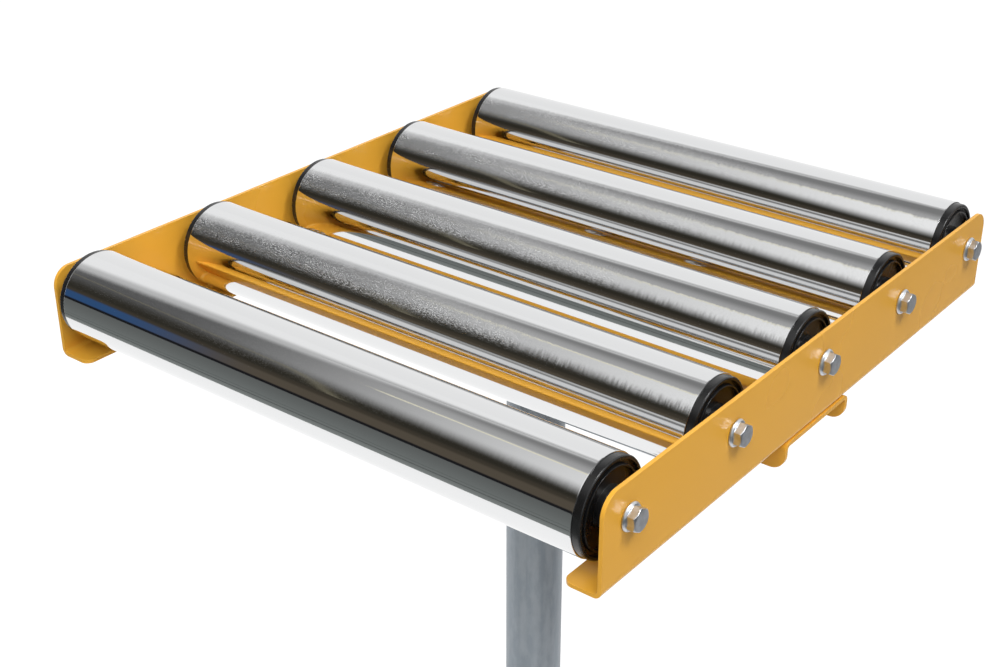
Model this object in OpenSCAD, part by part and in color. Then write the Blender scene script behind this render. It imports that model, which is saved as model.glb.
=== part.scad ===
// Roller stand: a roller table on a telescopic post, for carrying long work beside a machine.
// Millimetres. +Z is up, the floor is z = 0 and the post stands on the Z axis.
// The rollers lie along X, the side rails and the travel of the work along Y, the front is -Y.

/* [Rollers] */
// Height of the roller axes above the floor, as stored
axis_h = 900; // [850:5:950]
// Distance from one roller axis to the next
roller_pitch = 105.5; // [95:0.5:120]
// Outer diameter of the roller tubes
roller_d = 60; // [56:1:70]
// Wall of the roller tubes
roller_wall = 1.5; // [1:0.1:2]
// Length of the roller tubes
roller_len = 404; // [340:2:500]
// Chamfer on the ends of the roller tubes
roller_chamfer = 0.6; // [0.3:0.1:0.9]
// Height of the rollers above the top edge of the rails
roller_proud = 8; // [4:1:12]
// Room under the rollers, down to the underside of the rails
roller_clear = 10; // [8:1:20]

/* [Roller end caps] */
// Length of the rim of a cap outside its tube
cap_rim_len = 5; // [4:0.5:7]
// Step from the tube down to the rim of the cap
cap_rim_step = 0.7; // [0.3:0.1:1]
// Depth of a cap inside its tube
cap_depth = 18; // [16:1:30]
// Wall of the moulded cap
cap_wall = 2.2; // [1.8:0.1:2.6]
// Gap from the face of a cap to the rail
cap_gap = 8.5; // [5:0.5:12]
// Height of the raised ring on the face of a cap, above its floor
cap_ring_h = 2.5; // [1:0.25:3]
// Diameter of the raised ring on the face of a cap
cap_ring_d = 48.4; // [44:0.2:49.6]
// Outer diameter of the collar round the axle
cap_collar_d = 25.6; // [24:0.2:28]
// Height of the collar above the rim of the cap
cap_collar_proud = 0.5; // [0:0.25:2]
// Number of ribs inside a cap
cap_ribs = 6; // [3:1:9]

/* [Axles and bearings] */
// Diameter of an axle
axle_d = 12; // [10:0.5:14]
// Outer diameter of a ball bearing
bearing_d = 32; // [31:0.5:34]
// Width of a ball bearing
bearing_w = 10; // [9:0.5:11]
// Diameter of a bearing ball
ball_d = 5.8; // [5:0.1:6]
// Number of balls in a bearing
ball_count = 7; // [5:1:8]
// Wall of a spacer sleeve
sleeve_wall = 2; // [1.5:0.25:2.5]

/* [Side rails] */
// Thickness of the rail sheet
rail_t = 2.5; // [2:0.25:4]
// Width of the flange that is folded inwards
rail_flange = 25; // [22:0.5:32]
// Length of the rail past the first and last axle
rail_end = 24; // [20:1:45]
// Outside radius of the fold
rail_fold_r = 5; // [4:0.5:7]
// Radius of the top corners
rail_corner_r = 13; // [5:1:18]
// Radius of the corners of the folded flange
flange_corner_r = 6; // [3:0.5:9]

/* [Cross channel] */
// Width of the channel across its folds
channel_w = 80; // [76:1:100]
// Depth of the channel
channel_h = 19; // [16:1:30]
// Thickness of the channel sheet
channel_t = 3; // [2.5:0.25:4]
// Outside radius of the folds
channel_fold_r = 5; // [4.5:0.25:6]
// Radius of the lower corners at the ends
channel_corner_r = 10; // [4:1:11]
// Distance from the end of the channel to the outer face of the rail
channel_inset = 0.5; // [0:0.25:3]
// Distance from the side of the channel to the bolts of the rails
channel_bolt_edge = 15; // [14.5:0.5:18]

/* [Cross ties] */
// Width of a tie
tie_w = 30; // [20:1:31]
// Height of a tie
tie_h = 22.5; // [16:0.5:24]
// Wall of a tie
tie_wall = 2; // [1.5:0.25:2.5]
// Distance that a tie stands in front of the middle between its two rollers
tie_shift = 9.5; // [0:0.5:10]

/* [Head plate] */
// Length of the plate along the channel
head_plate_l = 120; // [112:1:160]
// Thickness of the plate
head_plate_t = 6; // [5:0.5:10]
// Gap from the plate to the fold of the channel
head_plate_gap = 1; // [0.5:0.25:2]
// Distance from the end of the plate to its bolts
head_bolt_end = 15; // [11:1:16]
// Distance from the side of the plate to its bolts
head_bolt_side = 12; // [11:0.5:15]
// Leg of the weld round the top of the post
head_weld = 4; // [3:0.5:6]

/* [Post] */
// Outer diameter of the post
post_d = 42.4; // [38:0.2:48]
// Wall of the post
post_t = 2.6; // [2:0.1:3.2]
// Length of the post
post_len = 500; // [440:5:520]
// Length of the plug inside the post
plug_len = 20; // [10:1:40]
// Thickness of the guide rim under the post
plug_rim = 5; // [3:0.5:8]

/* [Column] */
// Height of the top of the column above the floor
column_top = 525; // [500:5:545]
// Wall of the column
column_t = 2; // [1.5:0.25:3]
// Wall of the guide bush
bush_wall = 1.35; // [1:0.05:2]
// Length of the guide bush inside the column
bush_len = 45; // [30:1:50]
// Thickness of the flange of the guide bush
bush_rim = 4; // [2:0.5:6]
// Step from the column out to the flange of the guide bush
bush_step = 2; // [0.5:0.25:4]

/* [Column foot] */
// Length of the foot plate along the spine
foot_plate_l = 150; // [140:2:200]
// Thickness of the foot plate
foot_plate_t = 6; // [5:0.5:10]
// Distance from the end of the foot plate to its bolts
foot_bolt_end = 16; // [12:1:22]
// Height of the gussets
gusset_h = 72; // [40:2:110]
// Reach of the gussets along the plate
gusset_reach = 34; // [24:1:36]
// Thickness of the gussets
gusset_t = 5; // [4:0.5:8]

/* [Clamp] */
// Height of the clamping screw above the floor
clamp_h = 458; // [420:2:460]
// Diameter of the clamping screw
clamp_d = 12; // [10:0.5:14]
// Outer diameter of the boss
boss_d = 24; // [20:0.5:28]
// Reach of the boss from the axis of the column
boss_reach = 42; // [38:1:50]
// Thickness of the pressure pad
pad_t = 5; // [4:0.5:6]
// Gap from the boss to the star knob when clamped
knob_gap = 6; // [4:0.5:12]
// Diameter of the star knob
knob_d = 62; // [50:1:80]
// Thickness of the star knob
knob_h = 22; // [18:1:30]
// Number of lobes of the star knob
knob_lobes = 5; // [5:1:7]
// Length of the knob's neck
knob_neck = 10; // [6:1:16]

/* [Base] */
// Length of the spine
spine_l = 520; // [440:5:600]
// Width of the spine
spine_w = 60; // [58:1:70]
// Height of the spine
spine_h = 40; // [30:1:60]
// Wall of the spine
spine_t = 2.5; // [2:0.25:3]
// Length of a foot beam
beam_l = 440; // [380:5:560]
// Width of a foot beam
beam_w = 60; // [50:1:70]
// Height of a foot beam
beam_h = 30; // [28:1:50]
// Wall of a foot beam
beam_t = 2; // [1.5:0.25:3]
// Height of the beams above the floor
beam_clear = 36; // [34:0.5:45]
// Outside radius of the corners of both tubes
tube_corner_r = 4; // [3:0.25:6]
// Distance from the middle of the spine to the bolts beside it
base_bolt_x = 16; // [14:0.5:18]
// Thickness of the end plugs
end_plug_t = 3; // [2:0.5:6]
// Depth of the end plugs inside the tubes
end_plug_depth = 14; // [8:1:16]

/* [Levelling feet] */
// Diameter of a foot pad
foot_d = 46; // [40:1:60]
// Height of a foot pad
foot_h = 14; // [13.5:0.25:15]
// Diameter of the ball of the stud in its pad
foot_ball_d = 13; // [12:0.25:13.5]
// Thickness of the pad under the ball
foot_floor = 2.4; // [2:0.1:3]
// Diameter of the threaded stud
stud_d = 10; // [8:0.5:12]
// Height of the top of the stud above the floor
stud_top = 52; // [50:0.5:54]
// Height of the hexagon on the stud
stud_hex_h = 4; // [3:0.25:6]
// Gap between a foot pad and the hexagon of its stud
foot_gap = 1.2; // [1:0.1:2]
// Distance from the end of the beam to the foot
foot_inset = 30; // [28:1:60]

/* [Fasteners] */
// Diameter of the bolts
bolt_d = 8; // [6:0.5:8.5]
// Width across flats of the bolts and nuts
bolt_af = 13; // [12:0.5:14]
// Height of the bolt heads
head_h = 7.5; // [6:0.25:9]
// Diameter of the flange of the bolts and nuts
bolt_flange_d = 17; // [16:0.25:18]
// Height of the nuts
nut_h = 8; // [6:0.25:9]
// Clearance of the bolts in their holes, on the diameter
hole_clear = 0.5; // [0.2:0.1:1]

/* [Hidden] */
$fn = 72;
roller_rows = 5;

// Overrun of a cutter past the faces it opens, and of a form into the one it joins
over = 1;
// Smallest inside radius of a square tube
corner_min_r = 0.5;

// Clearances, each on the radius
socket_clear = 0.1;
thread_clear = 0.05;
seat_clear = 0.05;
slide_clear = 0.25;
turn_clear = 0.2;
rim_clear = 0.3;
ball_clear = 0.25;
insert_clear = 0.2;

// Colours
PAINT = "#dfa12f";
ZINC = "#c9ced3";
STEEL = "#aeb4b9";
GALVANISED = "#98a1a8";
BLACK = "#1c1d1f";
NYLON = "#2b2c2e";
BRASS = "#b8974e";

// Roller and cap
roller_r = roller_d / 2;
tube_bore_r = roller_r - roller_wall;
tube_end = roller_len / 2;
cap_spigot_r = tube_bore_r - seat_clear;
cap_rim_r = roller_r - cap_rim_step;
cap_rim_round = 0.8;
cap_lip_w = 2.3;
cap_lip_r = cap_rim_r - cap_lip_w;
cap_floor = cap_rim_len - cap_ring_h;
cap_ring_r = cap_ring_d / 2;
cap_ring_w = 1;
cap_draft = 0.4;
cap_dish = 0.6;
cap_collar_r = cap_collar_d / 2;
cap_collar_wall = 2;
cap_collar_end = cap_rim_len + cap_collar_proud;
cap_opening_r = cap_collar_r - cap_collar_wall;
cap_web_in = 1.5;
cap_lead = 1;
rib_t = 1.6;
rib_len = 9;
rib_bite = 0.3;

// Bearing, counted outwards from the end of the tube
bearing_r = bearing_d / 2;
bearing_pocket_r = bearing_r + seat_clear;
bearing_face = -2;
bearing_back = bearing_face - bearing_w;
bearing_mid = (bearing_face + bearing_back) / 2;
axle_r = axle_d / 2;
race_bore_r = axle_r + seat_clear;
ball_r = ball_d / 2;
ball_path_r = (bearing_r + axle_r) / 2;
groove_r = ball_r + ball_clear;
race_cover = 1;
race_gap = 2 * (ball_r - race_cover);
inner_race_r = ball_path_r - race_gap / 2;
outer_race_r = ball_path_r + race_gap / 2;
seal_t = 0.8;
seal_recess = 0.4;
seal_gap = 0.3;
pocket_lip = 1;

// Rails and table
rail_in = tube_end + cap_rim_len + cap_gap;
rail_out = rail_in + rail_t;
rail_len = (roller_rows - 1) * roller_pitch + 2 * rail_end;
rail_top = axis_h + roller_r - roller_proud;
rail_under = axis_h - roller_r - roller_clear;
rail_bolt_gap = 2;
rail_bolt_x = rail_out - rail_fold_r - bolt_flange_d / 2 - rail_bolt_gap;
axle_len = 2 * rail_in;
axle_bolt_len = 20;
axle_tap_len = 24;
bolt_hole_r = (bolt_d + hole_clear) / 2;
shank_r = bolt_d / 2 - thread_clear;
tapped_r = bolt_d / 2;
thread_end = 2.5;
head_thread_end = 1.5;

// Bolt heads and nuts: the washer face, its edge and chamfer, and the crown of the hexagon
washer_h = 2.3;
washer_edge = 1.1;
washer_chamfer = 0.4;
crown_h = 1.6;
crown_in = 0.4;
hex_chamfer = 1;
hex_chamfer_h = 0.8;

// Welds: the share of the leg that is left at the middle of the hollow face
weld_hollow = 0.35;

// Cross ties, in the gaps beside the first and the last roller
tie_corner_r = 2.5;
tie_under = rail_under + rail_t;
tie_gap_y = (roller_rows / 2 - 1) * roller_pitch;
tie_notch = rail_fold_r - rail_t + rim_clear;

// Channel and head plate
channel_l = 2 * (rail_out - channel_inset);
web_under = rail_under - channel_t;
rail_bolt_y = channel_w / 2 - channel_bolt_edge;
head_plate_w = channel_w - 2 * channel_fold_r - 2 * head_plate_gap;
head_plate_r = 8;
head_plate_under = web_under - head_plate_t;
head_bolt_x = head_plate_l / 2 - head_bolt_end;
head_bolt_y = head_plate_w / 2 - head_bolt_side;

// Post
post_r = post_d / 2;
post_bore_r = post_r - post_t;
post_top = head_plate_under;
post_bottom = post_top - post_len;

// Bush and column
bush_bore_r = post_r + slide_clear;
bush_r = bush_bore_r + bush_wall;
column_bore_r = bush_r + turn_clear;
column_r = column_bore_r + column_t;
bush_rim_r = column_r + bush_step;
bush_lead = 0.8;
plug_rim_r = column_bore_r - rim_clear;
plug_spigot_r = post_bore_r - seat_clear;
plug_wall = 2.5;
plug_chamfer = 1;

// Base, from the floor up
beam_top = beam_clear + beam_h;
spine_top = beam_top + spine_h;
column_foot = spine_top + foot_plate_t;
beam_y = spine_l / 2 - beam_w / 2;
foot_x = beam_l / 2 - foot_inset;
foot_bolt_y = foot_plate_l / 2 - foot_bolt_end;
foot_plate_r = 6;
foot_weld = 4;
gusset_nose = 8;
end_plug_wall = 2;
end_plug_chamfer = 1;

// Clamp, counted from the axis of the column towards the front
boss_bore_r = clamp_d / 2 + thread_clear;
boss_chamfer = 1.5;
screw_r = clamp_d / 2 - thread_clear;
pad_r = boss_bore_r - rim_clear;
pad_seat_r = post_r + rim_clear;
pad_start = 18;
pad_out = pad_seat_r + pad_t;
pilot_r = 3;
pilot_len = 2;
pilot_gap = 0.3;
knob_start = boss_reach + knob_gap;
knob_face = knob_start + knob_neck;
knob_end = knob_face + knob_h;
knob_r = knob_d / 2;
knob_neck_r = 11;
knob_hollow_r = 12;
knob_hollow_depth = 6.6;
knob_round = 4;
knob_bore_depth = 16;

// Feet
insert_wall = 1.5;
insert_r = stud_d / 2 + insert_wall;
insert_flange_w = 2;
insert_flange_r = insert_r + insert_flange_w;
insert_flange_t = 1.5;
insert_len = 15;
stud_r = stud_d / 2 - thread_clear;
stud_hole_r = stud_d / 2 + thread_clear;
stud_af = 17;
stud_tip = 1;
locknut_h = 5;
foot_r = foot_d / 2;
foot_edge = 3;
foot_edge_chamfer = 1;
foot_shoulder = 2;
foot_collar_w = 4;
foot_collar_r = stud_af / 2 + foot_collar_w;
foot_collar_chamfer = 2;
foot_collar_drop = 1.5;
foot_ball_r = foot_ball_d / 2;
foot_socket_r = foot_ball_r + socket_clear;
foot_ball_z = foot_floor + foot_socket_r;
foot_neck_r = 3.5;
stud_hex_z = foot_h + foot_gap;

// Y of roller i, counted from the front
function roller_y(i) = (i - (roller_rows + 1) / 2) * roller_pitch;

// Sets its children on the axis of roller i
module at_roller(i) {
    translate([0, roller_y(i), axis_h]) children();
}

// Turns children that stand along Z so that they lie along X
module along_x() {
    rotate([0, 90, 0]) children();
}

// Repeats its children at both ends of a roller, their Z pointing outwards from the tube's end
module both_ends() {
    for (side = [0, 1]) {
        mirror([side, 0, 0]) translate([tube_end, 0, 0]) along_x() children();
    }
}

// Repeats its children at the four places (x, y), (-x, y), (x, -y) and (-x, -y)
module four(x, y) {
    for (sx = [-1, 1], sy = [-1, 1]) {
        translate([sx * x, sy * y, 0]) children();
    }
}

// A flat rectangle with round corners
module round_rect(w, h, r) {
    square([w - 2 * r, h], center = true);
    square([w, h - 2 * r], center = true);
    for (sx = [-1, 1], sy = [-1, 1]) {
        translate([sx * (w / 2 - r), sy * (h / 2 - r)]) circle(r);
    }
}

// A flat tab: its root lies on y = 0 and its two far corners are round
module tab(w, h, r) {
    difference() {
        translate([-w / 2, 0]) square([w, h]);
        for (s = [0, 1]) mirror([s, 0]) {
            translate([w / 2 - r, h - r]) difference() {
                square(r + over);
                circle(r);
            }
        }
    }
}

// A quarter ring, the section of a fold
module fold_section(r, t) {
    intersection() {
        difference() {
            circle(r);
            circle(r - t);
        }
        translate([-r, -r]) square([r, r]);
    }
}

// A rectangular tube along Z, its corners rounded to r
module rect_tube(w, h, t, r, len) {
    linear_extrude(len, center = true) difference() {
        round_rect(w, h, r);
        round_rect(w - 2 * t, h - 2 * t, max(r - t, corner_min_r));
    }
}

// Lays children that stand along Z out along X, their X turned to Y and their Y to Z
module lay_x() {
    rotate([90, 0, 90]) children();
}

// Lays children that stand along Z out along Y, their Y turned to Z
module lay_y() {
    rotate([90, 0, 0]) children();
}

// The cutter of a round hole along Z between the faces at z0 and z1
module bore(r, z0, z1) {
    translate([0, 0, z0 - over]) cylinder(h = z1 - z0 + 2 * over, r = r);
}

// The washer face and hexagon of a flange bolt or nut, its seat on z = 0
module flange_hex(h) {
    corner_r = bolt_af / 2 / cos(30);
    washer_r = bolt_flange_d / 2;
    rotate_extrude() polygon([
        [0, 0], [washer_r - washer_chamfer, 0], [washer_r, washer_chamfer], [washer_r, washer_edge],
        [corner_r, washer_h], [0, washer_h]
    ]);
    intersection() {
        cylinder(h = h, r = corner_r, $fn = 6);
        rotate_extrude() polygon([
            [0, 0], [corner_r + over, 0], [corner_r + over, h - crown_h], [bolt_af / 2 - crown_in, h],
            [0, h]
        ]);
    }
}

// A flange bolt, its head above z = 0 and its shank below
module flange_bolt(len) {
    flange_hex(head_h);
    translate([0, 0, -len]) cylinder(h = len, r = shank_r);
}

// A flange nut, its seat on z = 0
module flange_nut() {
    difference() {
        flange_hex(nut_h);
        bore(tapped_r, 0, nut_h);
    }
}

// A side rail: a web, a fold and an inward flange, drilled for the axle bolts and the channel bolts
module rail(side) {
    web_root = rail_under + rail_fold_r;
    flange_root = rail_out - rail_fold_r;
    color(PAINT) mirror([side < 0 ? 1 : 0, 0, 0]) difference() {
        union() {
            translate([rail_in, 0, web_root]) lay_x()
                linear_extrude(rail_t) tab(rail_len, rail_top - web_root, rail_corner_r);
            translate([flange_root, 0, web_root]) lay_y()
                linear_extrude(rail_len, center = true) mirror([1, 0]) fold_section(rail_fold_r, rail_t);
            translate([flange_root, 0, rail_under]) rotate([0, 0, 90])
                linear_extrude(rail_t) tab(rail_len, rail_flange - rail_fold_r, flange_corner_r);
        }
        for (i = [1 : roller_rows]) {
            at_roller(i) along_x() bore(bolt_hole_r, rail_in, rail_out);
        }
        for (s = [-1, 1]) {
            translate([rail_bolt_x, s * rail_bolt_y, 0]) bore(bolt_hole_r, rail_under, rail_under + rail_t);
        }
    }
}

// The ties between the webs of the rails, on their flanges and notched over their folds
module cross_ties() {
    color(PAINT) for (s = [-1, 1]) translate([0, s * tie_gap_y - tie_shift, tie_under]) difference() {
        translate([0, 0, tie_h / 2]) lay_x() rect_tube(tie_w, tie_h, tie_wall, tie_corner_r, 2 * rail_in);
        for (m = [0, 1]) mirror([m, 0, 0]) {
            translate([rail_in, 0, 0]) lay_y() linear_extrude(tie_w + 2 * over, center = true) polygon([
                [-tie_notch - over, -over], [over, -over], [over, tie_notch + over]
            ]);
        }
    }
}

// The channel under the table: a web with a flange folded down along each side
module cross_channel() {
    web_w = channel_w - 2 * channel_fold_r;
    flange_h = channel_h - channel_fold_r;
    color(PAINT) difference() {
        union() {
            translate([-channel_l / 2, -web_w / 2, web_under]) cube([channel_l, web_w, channel_t]);
            for (s = [0, 1]) mirror([0, s, 0]) {
                translate([0, web_w / 2, rail_under - channel_fold_r]) lay_x()
                    linear_extrude(channel_l, center = true) rotate(180)
                    fold_section(channel_fold_r, channel_t);
                translate([0, channel_w / 2, rail_under - channel_fold_r]) rotate([-90, 0, 180])
                    linear_extrude(channel_t) tab(channel_l, flange_h, channel_corner_r);
            }
        }
        four(rail_bolt_x, rail_bolt_y) bore(bolt_hole_r, web_under, rail_under);
        four(head_bolt_x, head_bolt_y) bore(bolt_hole_r, web_under, rail_under);
    }
}

// The bolts that hold the rails on the channel, heads on the rail flanges
module rail_bolts() {
    color(ZINC) four(rail_bolt_x, rail_bolt_y)
        translate([0, 0, rail_under + rail_t]) flange_bolt(rail_t + channel_t + nut_h + thread_end);
}

// The nuts on the channel: under its web for the rails and on top of it for the head plate
module head_nuts() {
    color(ZINC) four(rail_bolt_x, rail_bolt_y)
        translate([0, 0, web_under]) mirror([0, 0, 1]) flange_nut();
    color(ZINC) four(head_bolt_x, head_bolt_y)
        translate([0, 0, rail_under]) flange_nut();
}

// The plate that is welded on the post and bolted under the web of the channel
module head_plate() {
    color(STEEL) difference() {
        union() {
            translate([0, 0, head_plate_under]) linear_extrude(head_plate_t)
                round_rect(head_plate_l, head_plate_w, head_plate_r);
            translate([0, 0, head_plate_under]) mirror([0, 0, 1]) weld_ring(post_r, head_weld);
        }
        four(head_bolt_x, head_bolt_y) bore(bolt_hole_r, head_plate_under, web_under);
    }
}

// A weld ring round a tube of radius r, its foot on z = 0
module weld_ring(r, leg) {
    middle = weld_hollow * leg;
    rotate_extrude() polygon([[r, 0], [r + leg, 0], [r + middle, middle], [r, leg]]);
}

// The bolts that hold the head plate, put in from below
module head_plate_bolts() {
    color(ZINC) four(head_bolt_x, head_bolt_y)
        translate([0, 0, head_plate_under]) mirror([0, 0, 1])
        flange_bolt(head_plate_t + channel_t + nut_h + head_thread_end);
}

// A round tube that stands from z0 to z1
module round_tube(r_out, r_in, z0, z1) {
    difference() {
        translate([0, 0, z0]) cylinder(h = z1 - z0, r = r_out);
        bore(r_in, z0, z1);
    }
}

// The inner tube that carries the table
module post() {
    color(GALVANISED) round_tube(post_r, post_bore_r, post_bottom, post_top);
}

// The plug in the lower end of the post, its rim guided by the column
module post_plug() {
    color(NYLON) translate([0, 0, post_bottom]) rotate_extrude() polygon([
        [plug_spigot_r - plug_wall, 0], [plug_spigot_r - plug_wall, plug_len],
        [plug_spigot_r - plug_chamfer, plug_len], [plug_spigot_r, plug_len - plug_chamfer],
        [plug_spigot_r, 0], [plug_rim_r, 0], [plug_rim_r, plug_chamfer - plug_rim],
        [plug_rim_r - plug_chamfer, -plug_rim], [0, -plug_rim], [0, plug_wall - plug_rim],
        [plug_spigot_r - plug_wall, plug_wall - plug_rim]
    ]);
}

// The fixed axle of roller i, tapped at both ends for the axle bolts
module axle(i) {
    color(STEEL) at_roller(i) along_x() difference() {
        cylinder(h = axle_len, r = axle_r, center = true);
        for (s = [-1, 1]) {
            translate([0, 0, s * (axle_len - axle_tap_len + over) / 2])
                cylinder(h = axle_tap_len + over, r = tapped_r, center = true);
        }
    }
}

// The bolts through one rail into the ends of the axles
module axle_bolts(side) {
    color(ZINC) for (i = [1 : roller_rows]) {
        at_roller(i) mirror([side < 0 ? 1 : 0, 0, 0]) translate([rail_out, 0, 0]) along_x()
            flange_bolt(axle_bolt_len);
    }
}

// The sleeves that keep the inner rings of the bearings away from the rails
module spacer_sleeves() {
    color(ZINC) for (i = [1 : roller_rows]) {
        at_roller(i) both_ends()
            round_tube(race_bore_r + sleeve_wall, race_bore_r, bearing_face, cap_rim_len + cap_gap);
    }
}

// The groove that the balls run in, as a ring
module ball_groove() {
    rotate_extrude() translate([ball_path_r, 0]) circle(groove_r);
}

// The inner rings of the bearings, which stand still on the axles
module bearing_inner_rings() {
    color(STEEL) for (i = [1 : roller_rows]) {
        at_roller(i) both_ends() translate([0, 0, bearing_mid]) difference() {
            cylinder(h = bearing_w, r = inner_race_r, center = true);
            bore(race_bore_r, -bearing_w / 2, bearing_w / 2);
            ball_groove();
        }
    }
}

// The bearings of roller i: outer rings with their two seals, and the balls between the seals
module bearings(i) {
    color(STEEL) at_roller(i) both_ends() translate([0, 0, bearing_mid]) {
        difference() {
            cylinder(h = bearing_w, r = bearing_r, center = true);
            bore(inner_race_r + seal_gap, -bearing_w / 2, bearing_w / 2);
            cylinder(h = bearing_w - 2 * (seal_recess + seal_t), r = outer_race_r, center = true);
            for (s = [-1, 1]) {
                translate([0, 0, s * (bearing_w + over - seal_recess) / 2])
                    cylinder(h = seal_recess + over, r = outer_race_r, center = true);
            }
            ball_groove();
        }
        for (k = [0 : ball_count - 1]) {
            rotate([0, 0, k * 360 / ball_count]) translate([ball_path_r, 0, 0]) sphere(ball_r);
        }
    }
}

// The tube of roller i
module roller_tube(i) {
    color(ZINC) at_roller(i) along_x() rotate_extrude() polygon([
        [tube_bore_r, -tube_end], [roller_r - roller_chamfer, -tube_end],
        [roller_r, roller_chamfer - tube_end], [roller_r, tube_end - roller_chamfer],
        [roller_r - roller_chamfer, tube_end], [tube_bore_r, tube_end]
    ]);
}

// One moulded end cap: a rim outside the tube, a dished face with a raised ring and a collar,
// and inside the tube a spigot and a ribbed pocket for the bearing
module end_cap() {
    pocket_end = bearing_back - pocket_lip;
    pocket_out_r = bearing_pocket_r + cap_wall;
    spigot_in_r = cap_spigot_r - cap_wall;
    rotate_extrude() polygon([
        [cap_opening_r, bearing_face], [cap_opening_r, cap_collar_end],
        [cap_collar_r - cap_draft, cap_collar_end], [cap_collar_r, cap_floor - cap_dish],
        [cap_ring_r - cap_ring_w - cap_draft, cap_floor],
        [cap_ring_r - cap_ring_w, cap_rim_len], [cap_ring_r, cap_rim_len],
        [cap_ring_r + cap_draft, cap_floor], [cap_lip_r - cap_draft, cap_floor],
        [cap_lip_r, cap_rim_len], [cap_rim_r - cap_rim_round, cap_rim_len],
        [cap_rim_r, cap_rim_len - cap_rim_round], [cap_rim_r, 0], [cap_spigot_r, 0],
        [cap_spigot_r, cap_lead - cap_depth], [cap_spigot_r - cap_lead, -cap_depth],
        [spigot_in_r, -cap_depth],
        [spigot_in_r, -cap_web_in], [pocket_out_r, -cap_web_in], [pocket_out_r, pocket_end],
        [bearing_pocket_r, pocket_end], [bearing_pocket_r, bearing_face]
    ]);
    for (k = [0 : cap_ribs - 1]) {
        rotate([0, 0, k * 360 / cap_ribs])
            translate([pocket_out_r - rib_bite, -rib_t / 2, -cap_web_in - rib_len])
            cube([spigot_in_r - pocket_out_r + 2 * rib_bite, rib_t, rib_len + rib_bite]);
    }
}

// The two end caps of roller i
module roller_caps(i) {
    color(BLACK) at_roller(i) both_ends() end_cap();
}

// The flanged bush at the top of the column: it turns in the column and the post slides in it
module guide_bush() {
    color(NYLON) translate([0, 0, column_top]) rotate_extrude() polygon([
        [bush_bore_r, -bush_len], [bush_r - bush_lead, -bush_len], [bush_r, bush_lead - bush_len],
        [bush_r, 0], [bush_rim_r, 0], [bush_rim_r, bush_rim - bush_lead],
        [bush_rim_r - bush_lead, bush_rim], [bush_bore_r + bush_lead, bush_rim],
        [bush_bore_r, bush_rim - bush_lead]
    ]);
}

// The cutter for the clamping screw, along the front of the column
module clamp_bore() {
    translate([0, 0, clamp_h]) rotate([90, 0, 0]) cylinder(h = boss_reach + over, r = boss_bore_r);
}

// The outer tube, drilled for the clamp
module column() {
    color(PAINT) difference() {
        round_tube(column_r, column_bore_r, column_foot, column_top);
        clamp_bore();
    }
}

// The threaded boss that is welded on the column for the clamping screw
module clamp_boss() {
    color(PAINT) difference() {
        translate([0, 0, clamp_h]) rotate([90, 0, 0]) rotate_extrude() polygon([
            [0, 0], [boss_d / 2, 0], [boss_d / 2, boss_reach - boss_chamfer],
            [boss_d / 2 - boss_chamfer, boss_reach], [0, boss_reach]
        ]);
        translate([0, 0, clamp_h - boss_d]) cylinder(h = 2 * boss_d, r = column_r);
        clamp_bore();
    }
}

// The plate under the column, with the weld round the tube
module column_flange() {
    color(PAINT) difference() {
        union() {
            translate([0, 0, spine_top]) linear_extrude(foot_plate_t)
                round_rect(spine_w, foot_plate_l, foot_plate_r);
            translate([0, 0, column_foot]) weld_ring(column_r, foot_weld);
        }
        four(base_bolt_x, foot_bolt_y) bore(bolt_hole_r, spine_top, column_foot);
    }
}

// The two gussets between the column and its plate, notched over the weld
module gusset_plates() {
    color(PAINT) for (s = [0, 1]) mirror([0, s, 0]) {
        difference() {
            translate([0, 0, column_foot]) lay_x() linear_extrude(gusset_t, center = true) polygon([
                [0, 0], [column_r + gusset_reach, 0], [column_r + gusset_reach, gusset_nose],
                [column_r + gusset_nose, gusset_h], [0, gusset_h]
            ]);
            bore(column_r, column_foot, column_foot + gusset_h);
            translate([0, 0, column_foot - over]) cylinder(h = foot_weld + over, r = column_r + foot_weld);
        }
    }
}

// The lengthwise tube of the base, drilled for the bolts of the column and of the beams
module base_spine() {
    color(PAINT) difference() {
        translate([0, 0, beam_top + spine_h / 2]) lay_y()
            rect_tube(spine_w, spine_h, spine_t, tube_corner_r, spine_l);
        four(base_bolt_x, foot_bolt_y) bore(bolt_hole_r, beam_top, spine_top);
        four(base_bolt_x, beam_y) bore(bolt_hole_r, beam_top, spine_top);
    }
}

// A cross tube of the base, drilled for its bolts and for the inserts of its feet
module foot_beam(s) {
    color(PAINT) translate([0, s * beam_y, 0]) difference() {
        translate([0, 0, beam_clear + beam_h / 2]) lay_x()
            rect_tube(beam_w, beam_h, beam_t, tube_corner_r, beam_l);
        for (t = [-1, 1]) {
            translate([t * base_bolt_x, 0, 0]) bore(bolt_hole_r, beam_clear, beam_top);
            translate([t * foot_x, 0, 0]) bore(insert_r + seat_clear, beam_clear, beam_clear + beam_t);
        }
    }
}

// A moulded plug for the end of a rectangular tube: a chamfered head outside, a hollow box inside
module end_plug(w, h, t) {
    box_w = w - 2 * (t + insert_clear);
    box_h = h - 2 * (t + insert_clear);
    box_r = max(tube_corner_r - t, corner_min_r);
    intersection() {
        linear_extrude(end_plug_t) round_rect(w, h, tube_corner_r);
        rotate([90, 0, 0]) linear_extrude(h, center = true) plug_edge(w);
        rotate([90, 0, 90]) linear_extrude(w, center = true) plug_edge(h);
    }
    translate([0, 0, -end_plug_depth]) linear_extrude(end_plug_depth) difference() {
        round_rect(box_w, box_h, box_r);
        round_rect(box_w - 2 * end_plug_wall, box_h - 2 * end_plug_wall, corner_min_r);
    }
}

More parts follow.
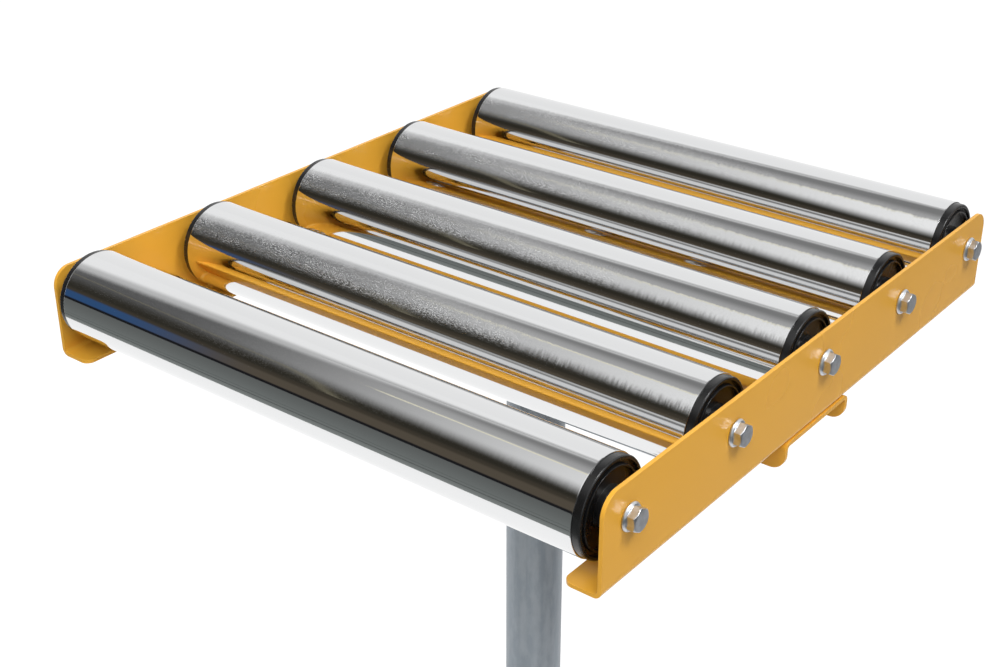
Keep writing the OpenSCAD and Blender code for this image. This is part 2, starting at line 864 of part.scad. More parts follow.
// The side view of the head of an end plug, w wide
module plug_edge(w) {
    polygon([
        [-w / 2, 0], [w / 2, 0], [w / 2, end_plug_t - end_plug_chamfer],
        [w / 2 - end_plug_chamfer, end_plug_t], [end_plug_chamfer - w / 2, end_plug_t],
        [-w / 2, end_plug_t - end_plug_chamfer]
    ]);
}

// The plugs in the ends of the spine
module spine_caps() {
    color(BLACK) for (s = [0, 1]) mirror([0, s, 0]) {
        translate([0, spine_l / 2, beam_top + spine_h / 2]) rotate([-90, 0, 0])
            end_plug(spine_w, spine_h, spine_t);
    }
}

// The plugs in the ends of the beams
module beam_caps() {
    color(BLACK) for (s = [-1, 1], m = [0, 1]) mirror([m, 0, 0]) {
        translate([beam_l / 2, s * beam_y, beam_clear + beam_h / 2]) lay_x()
            end_plug(beam_w, beam_h, beam_t);
    }
}

// The long bolts that hold the column on the spine
module flange_bolts() {
    color(ZINC) four(base_bolt_x, foot_bolt_y)
        translate([0, 0, column_foot]) flange_bolt(foot_plate_t + spine_h + nut_h + thread_end);
}

// The long bolts that hold the spine on the beams
module beam_bolts() {
    color(ZINC) four(base_bolt_x, beam_y)
        translate([0, 0, spine_top]) flange_bolt(spine_h + beam_h + nut_h + thread_end);
}

// The nuts of the base, under the spine and under the beams
module base_nuts() {
    color(ZINC) four(base_bolt_x, foot_bolt_y)
        translate([0, 0, beam_top]) mirror([0, 0, 1]) flange_nut();
    color(ZINC) four(base_bolt_x, beam_y)
        translate([0, 0, beam_clear]) mirror([0, 0, 1]) flange_nut();
}

// The threaded inserts in the floors of the beams
module foot_inserts() {
    color(ZINC) four(foot_x, beam_y) translate([0, 0, beam_clear]) difference() {
        union() {
            cylinder(h = insert_len, r = insert_r);
            translate([0, 0, -insert_flange_t]) cylinder(h = insert_flange_t, r = insert_flange_r);
        }
        bore(stud_hole_r, -insert_flange_t, insert_len);
    }
}

// The thin nuts that lock the studs of the feet
module foot_locknuts() {
    color(ZINC) four(foot_x, beam_y) translate([0, 0, beam_clear - insert_flange_t - locknut_h])
        difference() {
            chamfered_hex(stud_af, locknut_h);
            bore(stud_hole_r, 0, locknut_h);
        }
}

// A hexagon bar along Z with its corners chamfered at both ends
module chamfered_hex(af, h) {
    corner_r = af / 2 / cos(30);
    face_r = corner_r - hex_chamfer;
    intersection() {
        cylinder(h = h, r = corner_r, $fn = 6);
        rotate_extrude() polygon([
            [0, 0], [face_r, 0], [corner_r, hex_chamfer_h], [corner_r, h - hex_chamfer_h], [face_r, h],
            [0, h]
        ]);
    }
}

// The pad between the clamping screw and the post, hollowed to the post in front
module clamp_pad() {
    color(BRASS) translate([0, 0, clamp_h]) difference() {
        rotate([90, 0, 0]) translate([0, 0, pad_start]) cylinder(h = pad_out - pad_start, r = pad_r);
        translate([0, 0, -clamp_d]) cylinder(h = 2 * clamp_d, r = pad_seat_r);
        rotate([90, 0, 0]) translate([0, 0, pad_out - pilot_len - pilot_gap])
            cylinder(h = pilot_len + pilot_gap + over, r = pilot_r + turn_clear);
    }
}

// The clamping screw, with a pilot that turns in the pad
module clamp_screw() {
    color(ZINC) translate([0, 0, clamp_h]) rotate([90, 0, 0]) {
        translate([0, 0, pad_out + turn_clear])
            cylinder(h = knob_start + knob_bore_depth - pad_out - turn_clear, r = screw_r);
        translate([0, 0, pad_out - pilot_len]) cylinder(h = pilot_len + over, r = pilot_r);
    }
}

// The flat outline of the star knob
module star_outline() {
    hollow_at = knob_r + knob_hollow_r - knob_hollow_depth;
    difference() {
        circle(knob_r);
        for (k = [0 : knob_lobes - 1]) {
            rotate(90 + k * 360 / knob_lobes) translate([hollow_at, 0]) circle(knob_hollow_r);
        }
    }
}

// The star knob: a neck, and lobes that are rounded off towards the hand
module clamp_knob() {
    color(BLACK) translate([0, 0, clamp_h]) rotate([90, 0, 0]) difference() {
        union() {
            translate([0, 0, knob_start]) cylinder(h = knob_neck + over, r = knob_neck_r);
            intersection() {
                translate([0, 0, knob_face]) linear_extrude(knob_h) star_outline();
                rotate_extrude() union() {
                    translate([0, knob_face]) square([knob_r - knob_round, knob_h]);
                    translate([0, knob_face + knob_round]) square([knob_r, knob_h - 2 * knob_round]);
                    for (z = [knob_face + knob_round, knob_end - knob_round]) {
                        translate([knob_r - knob_round, z]) circle(knob_round);
                    }
                }
            }
        }
        translate([0, 0, knob_start - over]) cylinder(h = knob_bore_depth + over, r = clamp_d / 2);
    }
}

// The moulded pad of a levelling foot, with the socket for the ball of its stud
module foot_pad(sx, sy) {
    color(BLACK) translate([sx * foot_x, sy * beam_y, 0]) difference() {
        rotate_extrude() polygon([
            [0, 0], [foot_r - foot_edge_chamfer, 0], [foot_r, foot_edge_chamfer], [foot_r, foot_edge],
            [foot_r - foot_shoulder, foot_edge + foot_shoulder],
            [foot_collar_r, foot_h - foot_collar_drop], [foot_collar_r - foot_collar_chamfer, foot_h],
            [0, foot_h]
        ]);
        translate([0, 0, foot_ball_z]) sphere(foot_socket_r);
    }
}

// The stud of a levelling foot: a ball, a neck, the hexagon that it is turned by, and the thread
module foot_stud(sx, sy) {
    color(ZINC) translate([sx * foot_x, sy * beam_y, 0]) {
        translate([0, 0, foot_ball_z]) sphere(foot_ball_r);
        translate([0, 0, foot_ball_z]) cylinder(h = stud_hex_z - foot_ball_z + over, r = foot_neck_r);
        translate([0, 0, stud_hex_z]) chamfered_hex(stud_af, stud_hex_h);
        translate([0, 0, stud_hex_z + over])
            cylinder(h = stud_top - stud_tip - stud_hex_z - over, r = stud_r);
        translate([0, 0, stud_top - stud_tip])
            cylinder(h = stud_tip, r1 = stud_r, r2 = stud_r - stud_tip);
    }
}

rail(-1);  // rail_left
rail(1);  // rail_right
cross_ties();
cross_channel();
rail_bolts();
head_nuts();
head_plate();
head_plate_bolts();
post();
post_plug();
axle(1);  // axle_1
axle(2);  // axle_2
axle(3);  // axle_3
axle(4);  // axle_4
axle(5);  // axle_5
axle_bolts(-1);  // axle_bolts_left
axle_bolts(1);  // axle_bolts_right
spacer_sleeves();
bearing_inner_rings();
roller_tube(1);  // roller_tube_1
roller_tube(2);  // roller_tube_2
roller_tube(3);  // roller_tube_3
roller_tube(4);  // roller_tube_4
roller_tube(5);  // roller_tube_5
roller_caps(1);  // roller_caps_1
roller_caps(2);  // roller_caps_2
roller_caps(3);  // roller_caps_3
roller_caps(4);  // roller_caps_4
roller_caps(5);  // roller_caps_5
bearings(1);  // bearings_1
bearings(2);  // bearings_2
bearings(3);  // bearings_3
bearings(4);  // bearings_4
bearings(5);  // bearings_5
guide_bush();
column();
column_flange();
gusset_plates();
clamp_boss();
base_spine();
spine_caps();
foot_beam(-1);  // foot_beam_front
foot_beam(1);  // foot_beam_rear
beam_caps();
flange_bolts();
beam_bolts();
base_nuts();
foot_inserts();
foot_locknuts();
clamp_pad();
clamp_screw();
clamp_knob();
foot_pad(-1, -1);  // foot_pad_front_left
foot_pad(1, -1);  // foot_pad_front_right
foot_pad(-1, 1);  // foot_pad_rear_left
foot_pad(1, 1);  // foot_pad_rear_right
foot_stud(-1, -1);  // foot_stud_front_left
foot_stud(1, -1);  // foot_stud_front_right
foot_stud(-1, 1);  // foot_stud_rear_left
foot_stud(1, 1);  // foot_stud_rear_right
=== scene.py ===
import math

import bmesh
import bpy
from mathutils import Matrix, Vector


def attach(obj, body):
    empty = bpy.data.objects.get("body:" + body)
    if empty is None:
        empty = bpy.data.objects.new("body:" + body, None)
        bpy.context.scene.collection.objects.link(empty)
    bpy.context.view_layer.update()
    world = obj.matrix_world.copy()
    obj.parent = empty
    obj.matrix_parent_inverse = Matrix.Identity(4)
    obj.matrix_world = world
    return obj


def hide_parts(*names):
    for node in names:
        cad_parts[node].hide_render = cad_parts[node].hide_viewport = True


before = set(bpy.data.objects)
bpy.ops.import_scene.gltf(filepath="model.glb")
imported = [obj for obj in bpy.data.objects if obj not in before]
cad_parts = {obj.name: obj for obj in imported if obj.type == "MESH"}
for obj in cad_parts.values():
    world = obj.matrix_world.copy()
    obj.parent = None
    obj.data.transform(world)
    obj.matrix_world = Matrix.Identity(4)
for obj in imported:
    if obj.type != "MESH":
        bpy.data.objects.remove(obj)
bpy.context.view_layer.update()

# Levelling feet
# Four black nylon pads, each on the ball end of a zinc-plated M10 stud. The stud is screwed into a
# threaded insert in the floor of a cross beam and held by a thin lock nut.


class Value:
    """A socket in a finish, so that sums of sockets are written as sums."""

    def __init__(self, finish, socket):
        self.finish = finish
        self.socket = socket

    def maths(self, operation, a, b):
        return self.finish.node("ShaderNodeMath", {"operation": operation}, {0: a, 1: b})

    def __add__(self, other):
        return self.maths("ADD", self, other)

    def __radd__(self, other):
        return self.maths("ADD", other, self)

    def __sub__(self, other):
        return self.maths("SUBTRACT", self, other)

    def __rsub__(self, other):
        return self.maths("SUBTRACT", other, self)

    def __mul__(self, other):
        return self.maths("MULTIPLY", self, other)

    def __rmul__(self, other):
        return self.maths("MULTIPLY", other, self)

    def __truediv__(self, other):
        return self.maths("DIVIDE", self, other)

    def __neg__(self):
        return self.maths("MULTIPLY", self, -1.0)


class Finish:
    """A surface finish: a Principled shader with constants on its sockets and patterns made by nodes."""

    def __init__(self, name, **constants):
        self.material = bpy.data.materials.new(name)
        self.material.use_nodes = True
        self.tree = self.material.node_tree
        self.shader = self.tree.nodes["Principled BSDF"]
        for socket, value in constants.items():
            self.shader.inputs[socket.replace("_", " ")].default_value = value

    def node(self, kind, settings=None, sockets=None, out=0):
        made = self.tree.nodes.new(kind)
        for key, value in (settings or {}).items():
            setattr(made, key, value)
        for key, value in (sockets or {}).items():
            self.feed(made.inputs[key], value)
        return Value(self, made.outputs[out])

    def feed(self, socket, value):
        if isinstance(value, Value):
            self.tree.links.new(value.socket, socket)
        else:
            socket.default_value = value

    def give(self, **patterns):
        for socket, value in patterns.items():
            self.feed(self.shader.inputs[socket.replace("_", " ")], value)

    def place(self, centre=(0, 0, 0), stretch=(1, 1, 1)):
        """Object coordinates, counted from a centre and stretched."""
        where = self.node("ShaderNodeTexCoord", out="Object")
        moved = self.node("ShaderNodeVectorMath", {"operation": "SUBTRACT"}, {0: where, 1: centre})
        return self.node("ShaderNodeVectorMath", {"operation": "MULTIPLY"}, {0: moved, 1: stretch})

    def noise(self, where, scale, detail=2.0, rough=0.5):
        return self.node("ShaderNodeTexNoise", {}, {
            "Vector": where, "Scale": scale, "Detail": detail, "Roughness": rough})

    def span(self, value, low, high, to_low=0.0, to_high=1.0):
        """The value taken smoothly from low..high to to_low..to_high, and held there beyond it."""
        return self.node(
            "ShaderNodeMapRange", {"interpolation_type": "SMOOTHSTEP"},
            {"Value": value, "From Min": low, "From Max": high, "To Min": to_low, "To Max": to_high})

    def blend(self, share, a, b):
        """Colour a where the share is 0 and colour b where it is 1."""
        made = self.node("ShaderNodeMix", {"data_type": "RGBA"}, {"Factor": share}, out=2)
        sockets = made.socket.node.inputs
        self.feed(sockets[6], (*a, 1) if isinstance(a, tuple) else a)
        self.feed(sockets[7], (*b, 1) if isinstance(b, tuple) else b)
        return made

    def bump(self, height, distance):
        self.give(Normal=self.node("ShaderNodeBump", {}, {"Height": height, "Distance": distance}))


def moulded_black(name, grey, roughness, grain):
    """Black moulded plastic with a fine grain and a few duller, dusty patches."""
    plastic = Finish(name, Specular_IOR_Level=0.5)
    where = plastic.place()
    dust = plastic.span(plastic.noise(where, 55.0, 3.0), 0.45, 0.75)
    plastic.give(
        Base_Color=plastic.blend(dust, (grey, grey, grey * 1.06), (grey * 1.7, grey * 1.7, grey * 1.75)),
        Roughness=roughness + 0.12 * dust)
    plastic.bump(plastic.noise(where, 1800.0), grain)
    return plastic


def bright_metal(name, tint, roughness):
    """Zinc plating, bare steel or brass: a bright metal of that tint, faintly cloudy."""
    metal = Finish(name, Metallic=1.0)
    where = metal.place()
    cloud = metal.noise(where, 260.0, 3.0)
    dark = tuple(0.80 * c for c in tint)
    metal.give(
        Base_Color=metal.blend(metal.span(cloud, 0.35, 0.7), dark, tint),
        Roughness=metal.span(cloud, 0.3, 0.7, roughness - 0.06, roughness + 0.08))
    metal.bump(metal.noise(where, 1500.0), 0.00001)
    return metal


foot_plastic = moulded_black("foot_plastic", 0.018, 0.5, 0.00003)
zinc_plate = bright_metal("zinc_plate", (0.72, 0.75, 0.79), 0.36)


# Degrees between two faces from which their edge counts as sharp, and up to which they count as one
CREASE = 35.0
FLAT = 0.3
# Metres within which two points are one
SAME_POINT = 0.000002


def put_in(work, name, body, finish, replaced=(), crease=CREASE):
    """Makes the finished mesh an object, smooth up to the crease angle, riding on its body."""
    mesh = bpy.data.meshes.new(name)
    work.to_mesh(mesh)
    work.free()
    mesh.shade_smooth()
    mesh.set_sharp_from_angle(angle=math.radians(crease))
    mesh.materials.append(finish.material)
    piece = bpy.data.objects.new(name, mesh)
    bpy.context.scene.collection.objects.link(piece)
    level = piece.modifiers.new("flat faces", "WEIGHTED_NORMAL")
    level.keep_sharp = True
    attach(piece, body)
    if replaced:
        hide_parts(*replaced)


def from_cad(node, round_edge=0.0, steps=2):
    """A copy of a node's mesh: its triangles joined, its flat faces made whole, its sharp edges rounded."""
    work = bmesh.new()
    work.from_mesh(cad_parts[node].data)
    bmesh.ops.remove_doubles(work, verts=work.verts, dist=SAME_POINT)
    bmesh.ops.dissolve_limit(
        work, angle_limit=math.radians(FLAT), verts=work.verts, edges=work.edges,
        use_dissolve_boundaries=False, delimit={"NORMAL"})
    if round_edge:
        sharp = [
            e for e in work.edges
            if len(e.link_faces) == 2 and e.calc_face_angle(0.0) > math.radians(CREASE)]
        bmesh.ops.bevel(
            work, geom=sharp, offset=round_edge, offset_type="OFFSET", segments=steps, profile=0.5,
            affect="EDGES", clamp_overlap=True, material=-1)
    return work


def dress(node, body, finish, round_edge=0.0, steps=2):
    """Puts a finished copy of a node in the node's place."""
    put_in(from_cad(node, round_edge, steps), node + "_finished", body, finish, [node])


# The chamfer at the tip of a stud, and how near to a radius a point counts as on it
STUD_TIP = 0.001
NEAR = 0.00004


def slimmed(work, centre, axis, radius, core):
    """Moves the points of a shank and of its chamfered tip inwards, to make room for a thread."""
    for vertex in work.verts:
        out = vertex.co - centre
        out -= out.dot(axis) * axis
        if any(abs(out.length - r) < NEAR for r in (radius, radius - STUD_TIP)):
            vertex.co -= out * (1 - core / radius)
    return work


# The steps of a thread in one turn
THREAD_STEPS = 24


def thread(radius, core, pitch, start, end):
    """A screw thread along Z: one pitch of its outline, swept round and up, and cut level at both ends.

    Its crest is 1/8 and its root 1/4 of the pitch wide, as on a metric thread.
    """
    work = bmesh.new()
    outline = [
        work.verts.new((r, 0, start + (share - 1) * pitch))
        for r, share in ((radius, 0), (radius, 1 / 8), (core, 7 / 16), (core, 11 / 16), (radius, 1))]
    edges = [work.edges.new(pair) for pair in zip(outline, outline[1:])]
    turns = math.ceil((end - start) / pitch) + 2
    bmesh.ops.spin(
        work, geom=outline + edges, cent=(0, 0, 0), axis=(0, 0, 1), dvec=(0, 0, pitch / THREAD_STEPS),
        angle=math.tau * turns, steps=THREAD_STEPS * turns, use_merge=False, use_normal_flip=False,
        use_duplicate=False)
    bmesh.ops.remove_doubles(work, verts=work.verts, dist=0.5 * SAME_POINT)
    for level, away in ((start, -1), (end, 1)):
        bmesh.ops.bisect_plane(
            work, geom=work.verts[:] + work.edges[:] + work.faces[:], dist=0.0000001,
            plane_co=(0, 0, level), plane_no=(0, 0, away), clear_outer=True)
    bmesh.ops.holes_fill(work, edges=[e for e in work.edges if e.is_boundary], sides=0)
    bmesh.ops.recalc_face_normals(work, faces=work.faces)
    return work


FOOT_X = 0.190
FOOT_Y = 0.230
STUD_R = 0.00495
STUD_CORE = 0.0041
STUD_PITCH = 0.0015
STUD_FROM = 0.0195
STUD_TO = 0.051
UP = Vector((0, 0, 1))
for corner, x, y in (
        ("front_left", -FOOT_X, -FOOT_Y), ("front_right", FOOT_X, -FOOT_Y),
        ("rear_left", -FOOT_X, FOOT_Y), ("rear_right", FOOT_X, FOOT_Y)):
    dress(f"foot_pad_{corner}", f"foot_{corner}", foot_plastic, 0.0006)
    node = f"foot_stud_{corner}"
    stud = slimmed(from_cad(node), Vector((x, y, 0)), UP, STUD_R, STUD_CORE)
    put_in(stud, node + "_finished", f"stud_{corner}", zinc_plate, [node])
    ridge = thread(STUD_R, STUD_CORE, STUD_PITCH, STUD_FROM, STUD_TO)
    bmesh.ops.translate(ridge, verts=ridge.verts, vec=(x, y, 0))
    put_in(ridge, f"foot_stud_thread_{corner}", f"stud_{corner}", zinc_plate)

# Cross beams, spine and their plugs
# Two rectangular steel tubes lie across the ends of a third and are bolted under it. They are powder
# coated orange yellow, and black plugs are pressed into the open ends.

COAT_TONES = ((0.750, 0.378, 0.040), (0.770, 0.392, 0.044))


def powder_coat(name, light=1.0):
    """Glossy orange-yellow powder coat: even colour, a faint orange-peel surface. A light above 1 paints it
    lighter, as painted light.
    """
    coat = Finish(name, Specular_IOR_Level=0.3)
    where = coat.place()
    cloud = coat.noise(where, 6.0, 2.0)
    # Both tones are scaled by the light; above 1 this is painted light, not a lighter paint
    duller, brighter = [tuple(light * c for c in tone) for tone in COAT_TONES]
    coat.give(
        Base_Color=coat.blend(cloud, duller, brighter),
        Roughness=coat.span(coat.noise(where, 12.0, 2.0), 0.3, 0.7, 0.24, 0.28))
    coat.bump(coat.noise(where, 380.0, 1.0), 0.000012)
    return coat


yellow_coat = powder_coat("yellow_coat")
plug_plastic = moulded_black("plug_plastic", 0.016, 0.42, 0.00002)
for node in ("foot_beam_front", "foot_beam_rear", "base_spine"):
    dress(node, "base", yellow_coat, 0.0004)
for node in ("spine_caps", "beam_caps"):
    dress(node, "base", plug_plastic, 0.0004)
for node in ("beam_bolts", "flange_bolts", "base_nuts", "foot_inserts", "foot_locknuts"):
    dress(node, "base", zinc_plate, 0.00025)

# Column, its foot and its gussets
# A round tube is welded on a thick plate with two triangular gussets, and a threaded boss is welded on
# its front for the clamping screw. The welds are rippled, and all of it is powder coated.

for node in ("column", "column_flange", "gusset_plates", "clamp_boss"):
    dress(node, "base", yellow_coat, 0.0004)

WELD_CREASE = 70.0
WELD_BULGE = 0.62
# The length of a step along a weld, and the steps from one ripple to the next
WELD_STEP = 0.0006
RIPPLE_STEPS = 4
RIPPLE_LOW = 0.90
RIPPLE_RISE = 0.12


def rippled(count):
    """The size of a weld at a step, which rises and falls once in each ripple."""
    return RIPPLE_LOW + RIPPLE_RISE * math.sqrt(abs(math.sin(count * math.pi / RIPPLE_STEPS)))


def weld_section(work, corner, out, up, leg):
    """The outline of a weld in its corner, as points and the edges round them."""
    points = [corner, corner + leg * out, corner + WELD_BULGE * leg * (out + up), corner + leg * up]
    rim = [work.verts.new(point) for point in points]
    return rim + [work.edges.new((rim[i], rim[(i + 1) % 4])) for i in range(4)]


def weld_ring(radius, foot, leg, upward):
    """A weld round a tube, growing up (1) or down (-1) from its foot, rippled as the torch went round."""
    work = bmesh.new()
    section = weld_section(work, Vector((radius, 0, foot)), Vector((1, 0, 0)), upward * UP, leg)
    steps = 2 * RIPPLE_STEPS * round(math.tau * radius / WELD_STEP / (2 * RIPPLE_STEPS))
    bmesh.ops.spin(
        work, geom=section, cent=(0, 0, 0), axis=(0, 0, 1), dvec=(0, 0, 0), angle=math.tau, steps=steps,
        use_merge=True, use_normal_flip=False, use_duplicate=False)
    bmesh.ops.remove_doubles(work, verts=work.verts, dist=0.25 * SAME_POINT)
    for vertex in work.verts:
        way = math.atan2(vertex.co.y, vertex.co.x)
        corner = Vector((radius * math.cos(way), radius * math.sin(way), foot))
        vertex.co = corner + rippled(way / math.tau * steps) * (vertex.co - corner)
    bmesh.ops.recalc_face_normals(work, faces=work.faces)
    return work


def weld_line(work, start, run, out, up, leg):
    """A straight weld from a start along a run, growing out and up from its corner."""
    before = set(work.verts)
    section = weld_section(work, start, out, up, leg)
    steps = round(run.length / WELD_STEP)
    bmesh.ops.spin(
        work, geom=section, cent=(0, 0, 0), axis=(0, 0, 1), dvec=run / steps, angle=0.0, steps=steps,
        use_merge=False, use_normal_flip=False, use_duplicate=False)
    way = run.normalized()
    for vertex in set(work.verts) - before:
        corner = start + (vertex.co - start).dot(way) * way
        vertex.co = corner + rippled((corner - start).length / WELD_STEP) * (vertex.co - corner)


# The legs of the welds: round a tube, round the boss, up a gusset and along its foot
TUBE_LEG = 0.004
BOSS_LEG = 0.003
UPRIGHT_LEG = 0.0032
FOOT_LEG = 0.003

COLUMN_R = 0.025
COLUMN_FOOT = 0.112
column_weld = weld_ring(COLUMN_R, COLUMN_FOOT, TUBE_LEG, 1)
put_in(column_weld, "column_weld", "base", yellow_coat, crease=WELD_CREASE)

# A flat ring, laid on the round of the column
CLAMP_HEIGHT = 0.458
BOSS_R = 0.012
boss_weld = weld_ring(BOSS_R, 0.0, BOSS_LEG, 1)
for vertex in boss_weld.verts:
    x, y, z = vertex.co
    vertex.co = (x, -math.sqrt(COLUMN_R ** 2 - x ** 2) - z, CLAMP_HEIGHT + y)
bmesh.ops.recalc_face_normals(boss_weld, faces=boss_weld.faces)
put_in(boss_weld, "boss_weld", "base", yellow_coat, crease=WELD_CREASE)

# Both gussets have welds on both faces, up the column and out along the plate, from the column's weld on
GUSSET_FACE = 0.0025
GUSSET_HEIGHT = 0.072
WELD_AT_COLUMN = 0.0243
WELD_OUT_TO = 0.0585
gusset_weld = bmesh.new()
for side in (-1, 1):
    for end in (-1, 1):
        out = Vector((side, 0, 0))
        away = Vector((0, end, 0))
        on_column = Vector((side * GUSSET_FACE, end * WELD_AT_COLUMN, COLUMN_FOOT + TUBE_LEG))
        on_plate = Vector((side * GUSSET_FACE, end * (COLUMN_R + TUBE_LEG), COLUMN_FOOT))
        weld_line(gusset_weld, on_column, (GUSSET_HEIGHT - TUBE_LEG) * UP, out, away, UPRIGHT_LEG)
        weld_line(gusset_weld, on_plate, (WELD_OUT_TO - COLUMN_R - TUBE_LEG) * away, out, UP, FOOT_LEG)
bmesh.ops.holes_fill(gusset_weld, edges=[e for e in gusset_weld.edges if e.is_boundary], sides=0)
bmesh.ops.recalc_face_normals(gusset_weld, faces=gusset_weld.faces)
put_in(gusset_weld, "gusset_welds", "base", yellow_coat, crease=WELD_CREASE)

# Guide bush
# A flanged sleeve, turned from black nylon, sits in the top of the column. It turns there with the table,
# and the post slides up and down in it.

black_nylon = moulded_black("black_nylon", 0.02, 0.45, 0.00002)
dress("guide_bush", "swivel_bush", black_nylon, 0.0003)

# Clamp
# A brass pad, a zinc-plated M12 screw and a black moulded star knob clamp the post in the column. The pad
# is hollowed to the post, and the screw's pilot turns in it.

knob_plastic = moulded_black("knob_plastic", 0.014, 0.38, 0.00004)
soft_brass = bright_metal("soft_brass", (0.70, 0.50, 0.22), 0.35)
dress("clamp_pad", "clamp_slider", soft_brass, 0.0002)
SCREW_R = 0.00595
SCREW_CORE = 0.0050
SCREW_PITCH = 0.00175
SCREW_FROM = 0.0272
SCREW_TO = 0.0479
screw_centre = Vector((0, 0, CLAMP_HEIGHT))
screw = slimmed(from_cad("clamp_screw"), screw_centre, Vector((0, 1, 0)), SCREW_R, SCREW_CORE)
put_in(screw, "clamp_screw_finished", "clamp_handle", zinc_plate, ["clamp_screw"])
ridge = thread(SCREW_R, SCREW_CORE, SCREW_PITCH, SCREW_FROM, SCREW_TO)
to_front = Matrix.Rotation(math.radians(90), 3, "X")
bmesh.ops.rotate(ridge, verts=ridge.verts, cent=(0, 0, 0), matrix=to_front)
bmesh.ops.translate(ridge, verts=ridge.verts, vec=screw_centre)
put_in(ridge, "clamp_screw_thread", "clamp_handle", zinc_plate)
dress("clamp_knob", "clamp_handle", knob_plastic, 0.0012, 3)

# Post
# A galvanised steel tube, dull and bluish grey, with a faint spangle and faint runs along its length. A
# black nylon plug closes its lower end.


def galvanised_tube(name):
    """Zinc as it comes from the bath: a spangle and runs, both drawn out along the tube."""
    grey = Finish(name, Metallic=0.75)
    where = grey.place()
    spangle = grey.noise(grey.place(stretch=(1, 1, 0.35)), 120.0, 4.0, 0.6)
    runs = grey.noise(grey.place(stretch=(1, 1, 0.04)), 180.0, 2.0)
    tone = 0.6 * spangle + 0.4 * runs
    grey.give(
        Base_Color=grey.blend(grey.span(tone, 0.38, 0.62), (0.30, 0.34, 0.38), (0.41, 0.45, 0.49)),
        Roughness=grey.span(tone, 0.35, 0.65, 0.42, 0.55))
    grey.bump(grey.noise(where, 900.0, 3.0), 0.00002)
    return grey


dull_galvanised = galvanised_tube("dull_galvanised")
dress("post", "table", dull_galvanised, 0.0003)
dress("post_plug", "table", black_nylon, 0.0003)

# Head plate
# A thick plate of bare steel, welded on the end of the post and bolted under the channel with flange
# bolts and nuts.

mill_steel = bright_metal("mill_steel", (0.36, 0.38, 0.40), 0.5)
dress("head_plate", "table", mill_steel, 0.0006)
POST_R = 0.0212
HEAD_PLATE_UNDER = 0.851
head_weld = weld_ring(POST_R, HEAD_PLATE_UNDER, TUBE_LEG, -1)
put_in(head_weld, "head_plate_weld", "table", mill_steel, crease=WELD_CREASE)
dress("head_plate_bolts", "table", zinc_plate, 0.00025)
dress("head_nuts", "table", zinc_plate, 0.00025)

# Cross channel, cross ties and side rails
# The channel and the rails are sheet steel, cut, folded, drilled and bolted together, and the ties are
# rectangular tube. All are powder coated. The coat lies thick over the cut edges and rounds them.

# The ties show mostly as mirror images in the rollers. Their coat is painted lighter than the rest, as
# painted light that brightens those mirror images where the ties sit in shade under the rollers
TIES_PAINTED_LIGHTER = 1.28
dress("cross_channel", "table", yellow_coat, 0.0006, 3)
# Painted light: the ties get a lighter copy of the same coat
dress("cross_ties", "table", powder_coat("yellow_coat_of_ties_painted_lighter", TIES_PAINTED_LIGHTER), 0.0003)
dress("rail_left", "table", yellow_coat, 0.0007, 3)
dress("rail_right", "table", yellow_coat, 0.0007, 3)
dress("rail_bolts", "table", zinc_plate, 0.00025)

# Axles, bearings and sleeves
# A drawn bright bar runs through each roller. Ball bearings sit on it in the roller's caps, and a turned
# sleeve keeps each inner ring away from the rail.

drawn_steel = bright_metal("drawn_steel", (0.62, 0.63, 0.65), 0.3)
for number in range(1, 6):
    dress(f"axle_{number}", "table", drawn_steel, 0.0002)
    dress(f"bearings_{number}", f"roller_{number}", drawn_steel)
dress("bearing_inner_rings", "table", drawn_steel)
dress("spacer_sleeves", "table", zinc_plate, 0.0002)
dress("axle_bolts_left", "table", zinc_plate, 0.00025)
dress("axle_bolts_right", "table", zinc_plate, 0.00025)

# Roller tubes
# Thin steel tube, polished bright and turned square at its ends. Work that is pushed over the rollers has
# worn one side of them to a fine grain, and dust sits in it.

ROLLER_PITCH = 0.1055
AXIS_HEIGHT = 0.9
TUBE_R = 0.030
# How strong the wear of each roller is, from the front one to the rear one
WEAR = (0.12, 1.0, 1.0, 0.9, 0.8)
# The worn side, in angles from the top of the roller towards its front
WORN_FROM = math.radians(24)
WORN_TO = math.radians(52)


